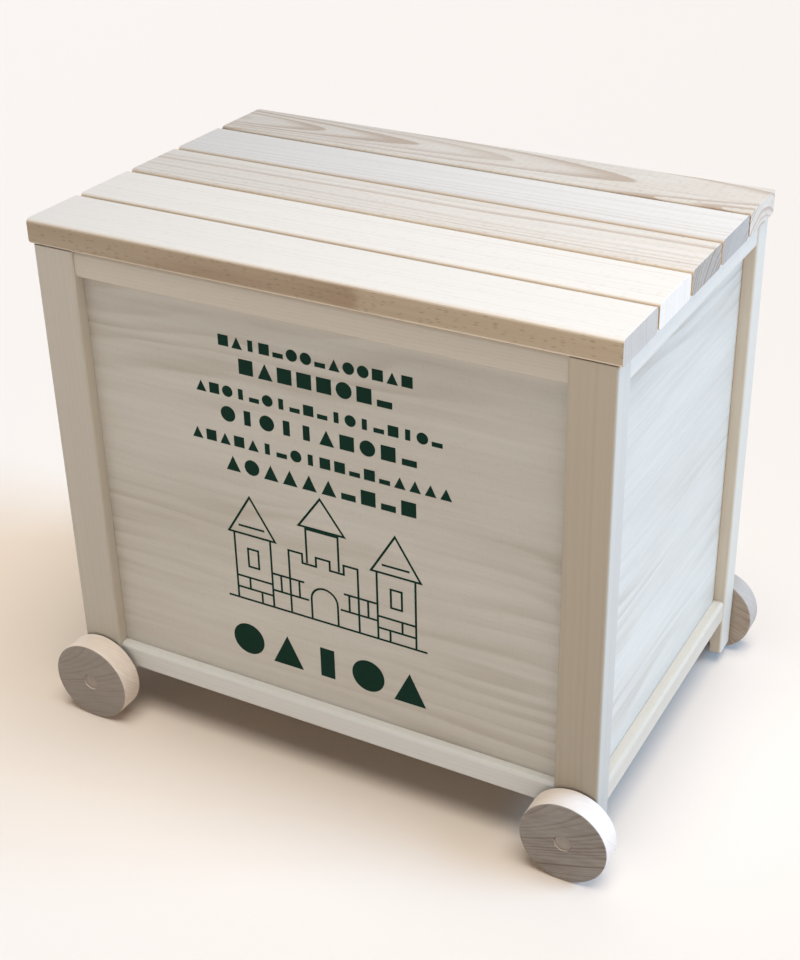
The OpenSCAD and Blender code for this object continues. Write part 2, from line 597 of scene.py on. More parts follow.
@dataclass(frozen=True)
class VeneerFinish:
    """Smooth plywood with a rotary-cut face veneer and its plies showing on the edges.

    Attributes:
        name: the material's name.
        pale: the colour of the face veneer.
        dark: the colour of its figure.
        core: the colour of the plies that lie crosswise.
        plies: number of plies.
        thickness: thickness of the sheet, in metres.
        figure_depth: how strongly the figure shows.
        roughness: the surface's mean roughness.
        relief: strength of the grain's relief, and its depth in metres.
        gloss: how much the lacquer reflects.
    """

    name: str
    pale: Colour
    dark: Colour
    core: Colour
    plies: int = 3
    thickness: float = 0.005
    figure_depth: float = 0.46
    roughness: float = 0.42
    relief: tuple[float, float] = (0.16, 0.1 * MM)
    gloss: float = 0.4

    def material(self) -> bpy.types.Material:
        """Writes the material.

        Returns:
            The material.
        """
        material, graph = new_material(self.name)
        place = graph.attribute("log")
        # the tone's brightness holds painted shade as well as the sheet's own tone
        bright, warm, figure = graph.parts(graph.attribute("tone"))
        end = graph.attribute("end", "Fac")
        # Scales are lumps to a metre: along the fibres, across them and through the sheet.
        along, across, out = graph.parts(place)
        wave = graph.noise(place, (3.2, 9.5, 0.0), roughness=0.45)
        crowd = graph.noise(place, (1.5, 24.0, 0.0))
        contour = (wave * 5.5 + crowd * 3.5 + across * 62.0).fraction()
        line = graph.smooth(contour, 0.1, 0.85) * (1.0 - graph.smooth(contour, 0.8, 1.0))
        vigour = graph.smooth(graph.noise(place, (3.6, 14.0, 0.0)), 0.4, 0.72)
        cloud = graph.noise(place, (5.0, 22.0, 0.0))
        streak = graph.noise(place, (11.0, 260.0, 0.0), detail=3.0, roughness=0.6)
        fibre = graph.noise(place, (90.0, 2100.0, 0.0), detail=1.0)
        distance, tone = graph.cells(graph.vector(along * 330.0, across * 1250.0, 0.0))
        kept, _, _ = graph.parts(tone)
        fleck = (1.0 - graph.smooth(distance, 0.1, 0.4)) * graph.smooth(kept, 0.45, 0.7)
        amount = line * vigour * self.figure_depth + (cloud - 0.5) * 0.55 + (streak - 0.5) * 0.5
        amount = amount * figure + fleck * 0.3 + (fibre - 0.5) * 0.12 + 0.2
        layer = (out / self.thickness + 0.5) * self.plies
        seam = graph.smooth(((layer * 0.5).fraction() - 0.5).size(), 0.02, 0.0)
        crosswise = (out / self.thickness * self.plies).size() < 0.5
        edge = graph.mix(crosswise * 0.75 + seam * 0.1, self.pale, self.core)
        colour = graph.mix(end, graph.mix(amount, self.pale, self.dark), edge)
        roughness = (fibre - 0.5) * 0.1 + end * 0.2 + self.roughness
        height = fibre * 0.4 + streak * 0.3 - fleck * 0.25
        output_wood(graph, toned(graph, colour, bright, warm), roughness, height, self.relief, self.gloss)
        return material


@dataclass(frozen=True)
class SteelFinish:
    """Bright zinc plating, a little clouded.

    Attributes:
        name: the material's name.
        colour: the metal's colour.
        cloud_colour: its colour where the plating has dulled.
    """

    name: str
    colour: Colour
    cloud_colour: Colour

    def material(self) -> bpy.types.Material:
        """Writes the material.

        Returns:
            The material.
        """
        material, graph = new_material(self.name)
        place = Value(graph, graph.node("ShaderNodeTexCoord").outputs["Object"])
        cloud = graph.noise(place, (900.0, 900.0, 900.0), detail=3.0)
        output_principled(
            graph,
            {
                "Base Color": graph.mix(cloud, self.colour, self.cloud_colour),
                "Metallic": 1.0,
                "Roughness": cloud * 0.25 + 0.2,
            },
        )
        return material


@dataclass(frozen=True)
class InkFinish:
    """Screen-printed ink that lets a little of the wood through.

    Attributes:
        name: the material's name.
        colour: the ink's colour.
        thin_colour: its colour where the film is thin.
    """

    name: str
    colour: Colour
    thin_colour: Colour

    def material(self) -> bpy.types.Material:
        """Writes the material.

        Returns:
            The material.
        """
        material, graph = new_material(self.name)
        place = Value(graph, graph.node("ShaderNodeTexCoord").outputs["Object"])
        grit = graph.noise(place, (700.0, 700.0, 2400.0))
        patch = graph.noise(place, (40.0, 40.0, 40.0))
        thin = graph.smooth(grit + (patch - 0.5) * 0.5, 0.55, 0.9)
        output_principled(
            graph,
            {
                "Base Color": graph.mix(thin, self.colour, self.thin_colour),
                "Roughness": thin * 0.2 + 0.55,
                "Specular IOR Level": 0.08,
            },
        )
        return material


@dataclass(frozen=True)
class PaperFinish:
    """The studio's pale paper sweep.

    Attributes:
        name: the material's name.
        colour: the paper's colour.
    """

    name: str
    colour: Colour

    def material(self) -> bpy.types.Material:
        """Writes the material.

        Returns:
            The material.
        """
        material, graph = new_material(self.name)
        output_principled(
            graph, {"Base Color": (*self.colour, 1.0), "Roughness": 0.9, "Specular IOR Level": 0.0}
        )
        return material


@dataclass
class Finishes:
    """Every material of the object, by the record's slot.

    Attributes:
        made: the materials, filled in as they are written.
    """

    made: dict[str, bpy.types.Material] = field(default_factory=dict)

    def __post_init__(self) -> None:
        """Writes the materials."""
        recipes = {
            "beech_post": BeechFinish(
                "lacquered_beech_post",
                pale=linear(216, 207, 192),
                dark=linear(194, 182, 164),
                fleck=linear(174, 156, 129),
                ring_width=0.0022,
                ring_depth=0.4,
                streak_depth=0.5,
                fleck_depth=0.1,
            ),
            "beech_rail": BeechFinish(
                "lacquered_beech_rail",
                pale=linear(217, 206, 190),
                dark=linear(198, 186, 168),
                fleck=linear(174, 156, 129),
                ring_width=0.0022,
                fleck_depth=0.1,
            ),
            "beech_slat": BeechFinish(
                "lacquered_beech_slat",
                pale=linear(238, 226, 211),
                dark=linear(203, 180, 160),
                fleck=linear(150, 122, 97),
                ring_width=0.0046,
                ring_depth=0.6,
                streak_depth=0.38,
                fleck_depth=0.2,
            ),
            "beech_inner": BeechFinish(
                "planed_beech",
                pale=linear(216, 200, 174),
                dark=linear(192, 168, 136),
                fleck=linear(164, 136, 104),
                roughness=0.6,
            ),
            "beech_wheel": BeechFinish(
                "turned_beech",
                pale=linear(152, 142, 132),
                dark=linear(112, 97, 85),
                fleck=linear(84, 68, 56),
                ring_width=0.0017,
                ring_depth=0.6,
                streak_depth=1.0,
                fleck_depth=0.07,
                end_shade=0.0,
                roughness=0.5,
            ),
            "beech_axle": BeechFinish(
                "dowel_beech",
                pale=linear(166, 155, 144),
                dark=linear(134, 119, 106),
                fleck=linear(104, 86, 72),
                ring_width=0.0024,
                ring_depth=0.25,
                end_shade=0.0,
                roughness=0.55,
            ),
            "birch_ply": VeneerFinish(
                "lacquered_plywood",
                pale=linear(216, 209, 196),
                dark=linear(186, 174, 157),
                core=linear(168, 138, 104),
            ),
            "screw_steel": SteelFinish("zinc_plate", linear(214, 214, 212), linear(168, 170, 172)),
            "ink": InkFinish("green_ink", linear(6, 44, 32), linear(30, 68, 52)),
        }
        for slot, recipe in recipes.items():
            self.made[slot] = recipe.material()


# ---- making and handing over pieces ----


def evaluated_mesh(maker: bpy.types.Object) -> bpy.types.Mesh:
    """Applies an object's modifiers.

    Args:
        maker: a working object, which is removed.

    Returns:
        The result as a plain mesh.
    """
    graph = bpy.context.evaluated_depsgraph_get()
    mesh = bpy.data.meshes.new_from_object(
        maker.evaluated_get(graph), preserve_all_data_layers=True, depsgraph=graph
    )
    source = maker.data
    bpy.data.objects.remove(maker)
    if source.users == 0:
        bpy.data.meshes.remove(source)
    return mesh


def working_object(name: str, mesh: bpy.types.Mesh | None = None) -> bpy.types.Object:
    """Makes an object to hang modifiers on.

    Args:
        name: a name for it.
        mesh: its mesh, or None for an empty one.

    Returns:
        The object, linked to the scene.
    """
    maker = bpy.data.objects.new(name, mesh or bpy.data.meshes.new(name))
    bpy.context.scene.collection.objects.link(maker)
    return maker


def shaded(maker: bpy.types.Object) -> bpy.types.Mesh:
    """Shades an object smooth with its flat faces flat, and applies its modifiers.

    Args:
        maker: the working object, which is removed.

    Returns:
        The new mesh.
    """
    maker.data.shade_smooth()
    normals = maker.modifiers.new("normals", "WEIGHTED_NORMAL")
    normals.weight = FULL_WEIGHT
    return evaluated_mesh(maker)


def eased(mesh: bpy.types.Mesh, width: float, bore: bpy.types.Mesh | None = None) -> bpy.types.Mesh:
    """Rounds a mesh's sharp edges a little, and keeps its flat faces flat under smooth shading.

    Args:
        mesh: the mesh, which is used up.
        width: width of the rounding, in metres.
        bore: what is drilled away afterwards, which is used up too.

    Returns:
        The new mesh.
    """
    maker = working_object("easing", mesh)
    bevel = maker.modifiers.new("edges", "BEVEL")
    bevel.width = width
    bevel.segments = 2
    bevel.limit_method = "ANGLE"
    bevel.angle_limit = SHARP_EDGE
    if bore is not None:
        drill = maker.modifiers.new("bore", "BOOLEAN")
        drill.operation = "DIFFERENCE"
        drill.solver = "EXACT"
        drill.object = working_object("drill", bore)
    made = shaded(maker)
    if bore is not None:
        bpy.data.meshes.remove(bore)
    return made


def outward(mesh: bpy.types.Mesh) -> bpy.types.Mesh:
    """Merges a mesh's doubles and turns all its faces outwards.

    Args:
        mesh: the mesh, which is changed.

    Returns:
        The same mesh.
    """
    work = bmesh.new()
    work.from_mesh(mesh)
    bmesh.ops.remove_doubles(work, verts=work.verts, dist=SAME_POINT)
    bmesh.ops.recalc_face_normals(work, faces=work.faces)
    work.to_mesh(mesh)
    work.free()
    return mesh


def closed_mesh(work: bmesh.types.BMesh) -> bpy.types.Mesh:
    """Turns a finished bmesh into a mesh.

    Args:
        work: the bmesh, which is used up.

    Returns:
        The mesh, with its doubles merged and all its faces outwards.
    """
    mesh = bpy.data.meshes.new("made")
    work.to_mesh(mesh)
    work.free()
    return outward(mesh)


def prism(outline: Sequence[Point], low: float, high: float) -> bpy.types.Mesh:
    """Raises an outline in X and Y into a solid.

    Args:
        outline: the outline's points, in order.
        low: the solid's lowest Z.
        high: its highest Z.

    Returns:
        The mesh.
    """
    work = bmesh.new()
    bottom = [work.verts.new((x, y, low)) for x, y in outline]
    top = [work.verts.new((x, y, high)) for x, y in outline]
    work.faces.new(bottom)
    work.faces.new(top)
    for index in range(len(outline)):
        following = (index + 1) % len(outline)
        work.faces.new((bottom[index], bottom[following], top[following], top[index]))
    return closed_mesh(work)


def turned(profile: Sequence[Point], steps: int = 96) -> bpy.types.Mesh:
    """Turns a closed or end-to-end profile about the Z axis, as a lathe does.

    Args:
        profile: radius and height of each point; a radius of 0 lies on the axis.
        steps: number of steps round.

    Returns:
        The mesh.
    """
    work = bmesh.new()
    rings = []
    for radius, height in profile:
        if radius == 0.0:
            rings.append([work.verts.new((0.0, 0.0, height))] * steps)
            continue
        angles = (2 * math.pi * step / steps for step in range(steps))
        spots = ((radius * math.cos(angle), radius * math.sin(angle), height) for angle in angles)
        rings.append([work.verts.new(spot) for spot in spots])
    closed = profile[0][0] != 0.0
    pairs = list(zip(rings, rings[1:])) + ([(rings[-1], rings[0])] if closed else [])
    for lower, upper in pairs:
        for step in range(steps):
            following = (step + 1) % steps
            corners = [lower[step], lower[following], upper[following], upper[step]]
            work.faces.new(list(dict.fromkeys(corners)))
    return closed_mesh(work)


def arc(centre: Point, radius: float, start: float, steps: int = 6) -> list[Point]:
    """A quarter circle's points, anticlockwise.

    Args:
        centre: the circle's centre.
        radius: its radius.
        start: the angle that it starts at, in degrees.
        steps: number of steps.

    Returns:
        The points, ends included.
    """
    angles = [math.radians(start + 90.0 * step / steps) for step in range(steps + 1)]
    return [(centre[0] + radius * math.cos(a), centre[1] + radius * math.sin(a)) for a in angles]


@dataclass
class Workshop:
    """Dresses finished meshes and hands them to the frame.

    Attributes:
        finishes: the materials.
        count: number of pieces handed over so far.
    """

    finishes: Finishes
    count: int = 0

    def hand_over(
        self,
        name: str,
        mesh: bpy.types.Mesh,
        body: str,
        slot: str,
        cut: LogCut | None = None,
        stands_for: str | None = None,
    ) -> None:
        """Turns a mesh into a finished piece of the object.

        Args:
            name: the piece's name.
            mesh: its mesh, in the row frame.
            body: the CAD body that it rides on.
            slot: the finish.
            cut: its place in its log, for wood.
            stands_for: the CAD node that it replaces.
        """
        mesh.name = name
        mesh.materials.clear()
        mesh.materials.append(self.finishes.made[slot])
        if cut is not None:
            self._store_wood(mesh, cut)
        piece = bpy.data.objects.new(name, mesh)
        bpy.context.scene.collection.objects.link(piece)
        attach(piece, body)
        if stands_for is not None:
            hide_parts(stands_for)
        self.count += 1
        log.info("%s: %d faces, on %s", name, len(mesh.polygons), body)

    @staticmethod
    def _store_wood(mesh: bpy.types.Mesh, cut: LogCut) -> None:
        """Stores a piece's place in its log, its tone with its painted light and shade, and its sawn ends as
        attributes.

        Args:
            mesh: the piece's mesh.
            cut: its place in its log.
        """
        points = np.zeros(len(mesh.vertices) * 3)
        mesh.vertices.foreach_get("co", points)
        place = mesh.attributes.new("log", "FLOAT_VECTOR", "POINT")
        place.data.foreach_set("vector", cut.coordinates(points.reshape(-1, 3)).astype(np.float32).ravel())
        normals = np.zeros(len(mesh.polygons) * 3)
        mesh.polygons.foreach_get("normal", normals)
        sizes = np.zeros(len(mesh.polygons), dtype=np.int32)
        mesh.polygons.foreach_get("loop_total", sizes)
        normals = normals.reshape(-1, 3)
        corners = np.zeros(len(mesh.loops), dtype=np.int32)
        mesh.loops.foreach_get("vertex_index", corners)
        tones = np.repeat(cut.tones(normals), sizes, axis=0)
        # painted shade: the brightness is drawn darker along the piece, for light that falls off across it
        tones[:, 0] *= cut.painted_shading(points.reshape(-1, 3))[corners]
        tone = mesh.attributes.new("tone", "FLOAT_VECTOR", "CORNER")
        tone.data.foreach_set("vector", tones.astype(np.float32).ravel())
        share = cut.sawn(normals)
        end = mesh.attributes.new("end", "FLOAT", "CORNER")
        end.data.foreach_set("value", np.repeat(share * cut.end_grain, sizes).astype(np.float32))


# ---- geometry trees ----


@dataclass
class TreeMaker:
    """Builds a Geometry Nodes tree and runs it on an empty object.

    Attributes:
        name: the tree's name.
        sizes: the names of the tree's number inputs.
        counts: the names of its whole number inputs.
    """

    name: str
    sizes: tuple[str, ...]
    counts: tuple[str, ...] = ()

    def __post_init__(self) -> None:
        """Makes the tree's inputs and output, and has the nodes written."""
        self.tree = bpy.data.node_groups.new(self.name, "GeometryNodeTree")
        self.tree.is_modifier = True
        self.graph = Graph(self.tree)
        self.identifiers: dict[str, str] = {}
        for kind, names in (("Float", self.sizes), ("Int", self.counts), ("Material", ("Material",))):
            for name in names:
                self._add_input(name, f"NodeSocket{kind}")
        self.tree.interface.new_socket("Geometry", in_out="OUTPUT", socket_type="NodeSocketGeometry")
        self.inlet = self.graph.node("NodeGroupInput")
        real = self.graph.node("GeometryNodeRealizeInstances", inputs={0: self.shape()})
        dressed = self.graph.node(
            "GeometryNodeSetMaterial",
            inputs={"Geometry": real.outputs[0], "Material": self.inlet.outputs["Material"]},
        )
        self.graph.node("NodeGroupOutput", inputs={0: dressed.outputs[0]})

    def _add_input(self, name: str, kind: str) -> None:
        """Adds one named input."""
        socket = self.tree.interface.new_socket(name, in_out="INPUT", socket_type=kind)
        self.identifiers[name] = socket.identifier

    def given(self, name: str) -> Value:
        """One of the tree's inputs."""
        return Value(self.graph, self.inlet.outputs[name])

    def shape(self) -> bpy.types.NodeSocket:
        """Writes the nodes that make the shape."""
        raise NotImplementedError

    def fed(
        self, kind: str, key: int | str, shapes: Sequence[bpy.types.NodeSocket], **settings: str
    ) -> bpy.types.Node:
        """Adds a node with one input that takes several geometries.

        Args:
            kind: the node's type.
            key: the input's name or number.
            shapes: the geometries.
            settings: the node's properties.

        Returns:
            The new node.
        """
        node = self.graph.node(kind, settings)
        for made in shapes:
            self.tree.links.new(made, node.inputs[key])
        return node

    def moved(self, shape: bpy.types.NodeSocket, **places: object) -> bpy.types.NodeSocket:
        """Moves, turns or stretches a geometry.

        Args:
            shape: the geometry.
            places: its new translation, rotation or scale.

        Returns:
            The geometry in its new place.
        """
        inputs = {name.capitalize(): place for name, place in places.items()}
        return self.graph.node("GeometryNodeTransform", inputs={0: shape, **inputs}).outputs[0]

    def spots(self, start: Value, step: Value) -> bpy.types.NodeSocket:
        """Makes an evenly spaced row of points, as many as the input Count says.

        Args:
            start: the first point.
            step: the way from one point to the next.

        Returns:
            The points.
        """
        inputs = {"Count": self.given("Count"), "Start Location": start, "Offset": step}
        return self.graph.node("GeometryNodeMeshLine", {"mode": "OFFSET"}, inputs).outputs[0]

    def raised(self, outline: bpy.types.NodeSocket, height: Value) -> bpy.types.NodeSocket:
        """Fills a flat curve and raises it along Z into a closed solid.

        Args:
            outline: the curve, in X and Y.
            height: the solid's height.

        Returns:
            The mesh, which stands on Z = 0.
        """
        flat = self.graph.node("GeometryNodeFillCurve", {"mode": "NGONS"}, {0: outline}).outputs[0]
        offset = self.graph.vector(0.0, 0.0, height)
        lift = {0: flat, "Offset": offset, "Individual": False}
        up = self.graph.node("GeometryNodeExtrudeMesh", inputs=lift).outputs[0]
        under = self.graph.node("GeometryNodeFlipFaces", inputs={0: flat}).outputs[0]
        whole = self.fed("GeometryNodeJoinGeometry", 0, (up, under)).outputs[0]
        merging = {0: whole, "Distance": SAME_POINT}
        return self.graph.node("GeometryNodeMergeByDistance", inputs=merging).outputs[0]

    def run(self, material: bpy.types.Material, **values: float) -> bpy.types.Mesh:
        """Runs the tree.

        Args:
            material: the finish that it sets.
            values: its inputs, with underscores for spaces.

        Returns:
            The result as a plain mesh.
        """
        maker = working_object(self.name)
        modifier = maker.modifiers.new(self.name, "NODES")
        modifier.node_group = self.tree
        modifier[self.identifiers["Material"]] = material
        for name, value in values.items():
            modifier[self.identifiers[name.replace("_", " ").capitalize()]] = value
        return evaluated_mesh(maker)


@dataclass
class BoardTree(TreeMaker):
    """A planed board that runs along Z, with its long edges rounded, more on the side towards -Y.

    Attributes:
        name: the tree's name.
        sizes: the names of the board's sizes and roundings.
    """

    name: str = "planed board"
    sizes: tuple[str, ...] = ("Width", "Thickness", "Length", "Front radius", "Back radius")

    def shape(self) -> bpy.types.NodeSocket:
        """Writes the board: a rounded rectangle, raised along Z.

        Returns:
            The board, with its middle at the origin.
        """
        outline = self.graph.node(
            "GeometryNodeCurvePrimitiveQuadrilateral",
            inputs={"Width": self.given("Width"), "Height": self.given("Thickness")},
        )
        position = Value(self.graph, self.graph.node("GeometryNodeInputPosition").outputs[0])
        _, depth, _ = self.graph.parts(position)
        front = depth < 0.0
        radius = front * self.given("Front radius") + (1.0 - front) * self.given("Back radius")
        rounded = self.graph.node(
            "GeometryNodeFilletCurve",
            {"mode": "POLY"},
            {"Curve": outline.outputs[0], "Count": 5, "Radius": radius},
        )
        length = self.given("Length")
        solid = self.raised(rounded.outputs[0], length)
        return self.moved(solid, translation=self.graph.vector(0.0, 0.0, length * -0.5))


@dataclass
class ScrewTree(TreeMaker):
    """A straight row of countersunk screws that stand along Z, with cross recesses in their heads.

    Attributes:
        name: the tree's name.
        sizes: the names of the screws' sizes and places.
        counts: the name of their number.
    """

    name: str = "row of screws"
    sizes: tuple[str, ...] = (
        "Shank radius",
        "Head radius",
        "Head height",
        "Length",
        "First",
        "Pitch",
        "Recess",
    )
    counts: tuple[str, ...] = ("Count",)

    def _stage(
        self, top: Value | float, bottom: Value, depth: Value, base: Value | float
    ) -> bpy.types.NodeSocket:
        """One length of the screw.

        Args:
            top: radius at its upper end.
            bottom: radius at its lower end.
            depth: its length.
            base: the Z that it stands on.

        Returns:
            The mesh.
        """
        cone = self.graph.node(
            "GeometryNodeMeshCone",
            inputs={"Vertices": 40, "Radius Top": top, "Radius Bottom": bottom, "Depth": depth},
        )
        return self.moved(cone.outputs[0], translation=self.graph.vector(0.0, 0.0, base))

    def shape(self) -> bpy.types.NodeSocket:
        """Writes the screws: head, shank and point, with a cross cut from the head.

        Returns:
            The row of screws, with their heads' faces on Z = 0.
        """
        graph = self.graph
        shank, head = self.given("Shank radius"), self.given("Head radius")
        rise, length, recess = self.given("Head height"), self.given("Length"), self.given("Recess")
        taper = shank * 2.0
        stages = [
            self._stage(shank, head, rise, 0.0),
            self._stage(shank, shank, length - rise - taper, rise),
            self._stage(0.0, shank, taper, length - taper),
        ]
        long, short = head * 1.1, head * 0.26
        bars = [
            graph.node("GeometryNodeMeshCube", inputs={"Size": graph.vector(*sides, recess * 2.0)}).outputs[0]
            for sides in ((long, short), (short, long))
        ]
        whole = self.fed("GeometryNodeMeshBoolean", "Mesh 2", stages, operation="UNION", solver="EXACT")
        cut = self.fed("GeometryNodeMeshBoolean", "Mesh 2", bars, operation="DIFFERENCE", solver="EXACT")
        self.tree.links.new(whole.outputs[0], cut.inputs["Mesh 1"])
        start = graph.vector(0.0, self.given("First"), 0.0)
        points = self.spots(start, graph.vector(0.0, self.given("Pitch"), 0.0))
        turn = graph.node(
            "FunctionNodeRandomValue",
            {"data_type": "FLOAT_VECTOR"},
            {0: (0.0, 0.0, 0.0), 1: (0.0, 0.0, math.pi / 2), "Seed": 7},
        )
        return graph.node(
            "GeometryNodeInstanceOnPoints",
            inputs={"Points": points, "Instance": cut.outputs[0], "Rotation": turn.outputs[0]},
        ).outputs[0]


@dataclass
class MotifTree(TreeMaker):
    """A printed row of plain toy-block shapes along X, centred, each picked at random.

    Attributes:
        name: the tree's name.
        sizes: the names of the shapes' height, their pitch and the ink's thickness.
        counts: the names of their number and of the seed that picks them.
    """

    name: str = "row of block shapes"
    sizes: tuple[str, ...] = ("Size", "Pitch", "Ink")
    counts: tuple[str, ...] = ("Count", "Seed")

    def _block(self, sides: int, turn: float, scale: Point, sink: float) -> bpy.types.NodeSocket:
        """One regular shape, as a thin solid.

        Args:
            sides: number of sides.
            turn: its turn about Z, in degrees.
            scale: its stretch along X and Y.
            sink: how far it is shifted along Y, in shares of the size.

        Returns:
            The mesh.
        """
        size = self.given("Size")
        circle = {"Resolution": sides, "Radius": size * 0.5}
        ring = self.graph.node("GeometryNodeCurvePrimitiveCircle", inputs=circle).outputs[0]
        ring = self.moved(ring, rotation=(0.0, 0.0, math.radians(turn)))
        shift = self.graph.vector(0.0, size * sink, 0.0)
        ring = self.moved(ring, scale=(*scale, 1.0), translation=shift)
        return self.raised(ring, self.given("Ink"))

    def shape(self) -> bpy.types.NodeSocket:
        """Writes the row: squares, bars, discs and triangles on an even pitch.

        Returns:
            The row, standing on Z = 0.
        """
        graph = self.graph
        blocks = [
            self._block(4, 45.0, (1.3, 1.3), 0.0),
            self._block(40, 0.0, (0.98, 0.98), 0.0),
            self._block(3, 90.0, (1.1, 1.28), -0.16),
            self._block(4, 45.0, (0.62, 1.3), 0.0),
            self._block(4, 45.0, (1.3, 0.56), -0.26),
        ]
        library = self.fed("GeometryNodeGeometryToInstance", 0, blocks)
        pitch = self.given("Pitch")
        start = graph.vector((self.given("Count") - 1.0) * pitch * -0.5, 0.0, 0.0)
        points = self.spots(start, graph.vector(pitch, 0.0, 0.0))
        pick = graph.node(
            "FunctionNodeRandomValue",
            {"data_type": "INT"},
            {4: 0, 5: len(blocks) - 1, "Seed": self.given("Seed")},
        )
        return graph.node(
            "GeometryNodeInstanceOnPoints",
            inputs={
                "Points": points,
                "Instance": library.outputs[0],
                "Pick Instance": True,
                "Instance Index": pick.outputs[2],
            },
        ).outputs[0]


# ---- sub-assemblies ----


def place_of(node: str) -> tuple[Vector, Vector]:
    """Finds a CAD node.

    Args:
        node: its name.

    Returns:
        The middle and the size of its box.
    """
    low, high = (Vector(corner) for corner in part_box(node))
    return (low + high) / 2, high - low


def standing(mesh: bpy.types.Mesh, at: Vector, axis: Vector = AXIS_Y) -> bpy.types.Mesh:
    """Turns a mesh made along Z to lie along another axis, and puts it in its place.

    Args:
        mesh: the mesh, which is changed.
        at: where its origin goes.
        axis: where its Z axis goes.

    Returns:
        The same mesh.
    """
    turn = AXIS_Z.rotation_difference(axis).to_matrix().to_4x4()
    mesh.transform(Matrix.Translation(at) @ turn)
    return mesh


def merged(meshes: Sequence[bpy.types.Mesh]) -> bpy.types.Mesh:
    """Joins several meshes into one.

    Args:
        meshes: the meshes, which are used up.

    Returns:
        The joined mesh.
    """
    work = bmesh.new()
    for mesh in meshes:
        work.from_mesh(mesh)
        bpy.data.meshes.remove(mesh)
    joined = bpy.data.meshes.new("joined")
    work.to_mesh(joined)
    work.free()
    return joined


@dataclass
class Joinery:
    """Makes boards to the size of their CAD nodes.

    Attributes:
        workshop: takes the finished pieces.
        tree: the geometry tree of a board.
    """

    workshop: Workshop
    tree: BoardTree = field(default_factory=BoardTree)

    def board(
        self,
        node: str,
        body: str,
        slot: str,
        cut: LogCut,
        edges: Point,
        bore: bpy.types.Mesh | None = None,
    ) -> None:
        """Makes one board.

        Args:
            node: the CAD node that it stands for.
            body: the body that it rides on.
            slot: its finish.
            cut: its place in its log, which also says which way it runs and faces.
            edges: rounding of its long edges on the show face and on the back, in millimetres.
            bore: what is drilled out of it.
        """
        middle, size = place_of(node)
        across = cut.grain.cross(cut.face)
        mesh = self.tree.run(
            self.workshop.finishes.made[slot],
            width=abs(size.dot(across)),
            thickness=abs(size.dot(cut.face)),
            length=abs(size.dot(cut.grain)),
            front_radius=edges[0] * MM,
            back_radius=edges[1] * MM,
        )
        turn = Matrix((across, -cut.face, cut.grain)).transposed().to_4x4()
        mesh.transform(Matrix.Translation(middle) @ turn)
        name = f"{node}_sheet" if cut.sawing is Sawing.PEELED else f"{node}_wood"
        self.workshop.hand_over(name, eased(mesh, EASING, bore), body, slot, cut, node)


